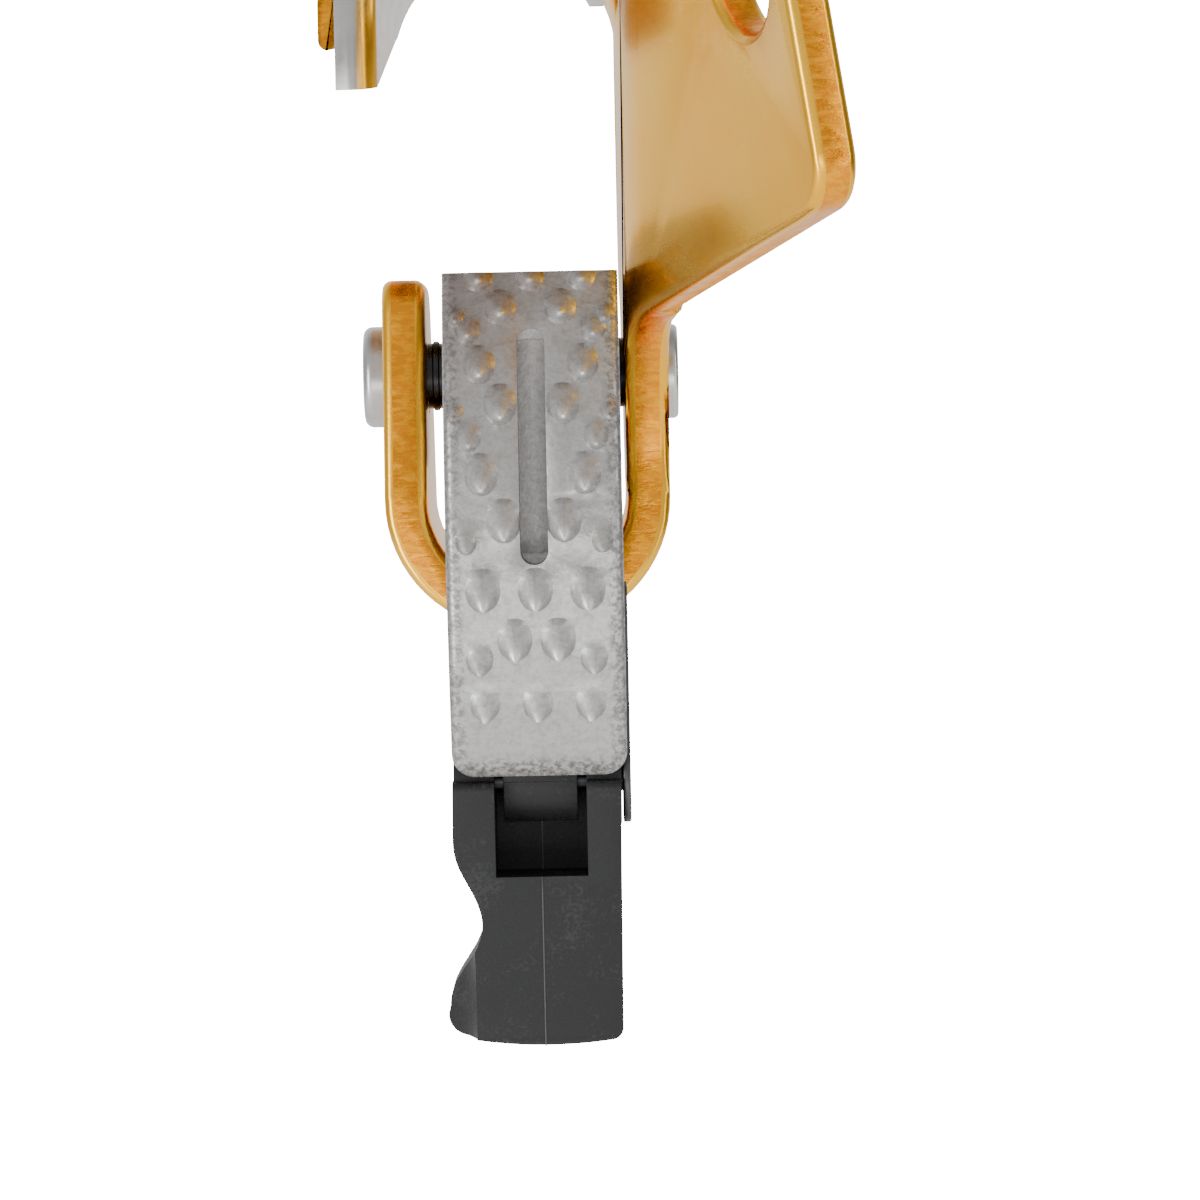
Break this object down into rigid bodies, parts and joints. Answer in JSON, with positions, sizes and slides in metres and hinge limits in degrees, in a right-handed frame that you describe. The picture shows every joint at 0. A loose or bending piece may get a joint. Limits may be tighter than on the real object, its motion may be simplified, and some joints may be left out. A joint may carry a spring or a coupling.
{
  "type": "rope clamp",
  "caption": "Folded-plate rope clamp with a spiral toothed cam on a cross axle, a lined rope channel and a finger catch at the cam's tail.",
  "frame": {"origin": "on the rope channel's axis, level with the cam axle", "axes": "+X towards the back (body) side, +Y up along the rope in use, +Z towards the channel's U wall"},
  "size_m": [0.0376, 0.1138, 0.0896],
  "materials": {
    "frame_gold": "glossy gold-orange anodised, bright rounded edges",
    "cam_steel": "satin cast steel",
    "stainless": "polished stainless",
    "rivet_steel": "smooth plated steel",
    "sleeve_steel": "blackened steel",
    "spring_steel": "spring wire",
    "catch_plastic": "satin black moulded plastic",
    "arm_steel": "dark grey coated steel"
  },
  "bodies": {
    "frame_body": {"frame": "frame_gold", "wear_liner": "stainless", "liner_rivet_low": "rivet_steel", "liner_rivet_high": "rivet_steel", "axle_rivet": "rivet_steel", "axle_sleeve": "sleeve_steel"},
    "cam_body": {"cam": "cam_steel", "tail_block": "catch_plastic", "cam_return_spring": "spring_steel"},
    "catch_unit": {"catch_body": "catch_plastic", "catch_pin": "rivet_steel", "catch_arm": "arm_steel", "catch_spring": "spring_steel"}
  },
  "joints": [
    {"name": "cam_pivot", "type": "hinge", "parent": "frame_body", "child": "cam_body", "pos_m": [0.0025, 0, -0.0268], "axis": [-1, 0, 0], "range_deg": [0, 98], "deforming": ["cam_return_spring"]},
    {"name": "catch_pivot", "type": "hinge", "parent": "cam_body", "child": "catch_unit", "pos_m": [0.0025, -0.0182, -0.0566], "axis": [1, 0, 0], "range_deg": [0, 10], "stiffness_Nm_per_rad": 0.05, "springref_deg": -5.73, "deforming": ["catch_spring"]}
  ]
}
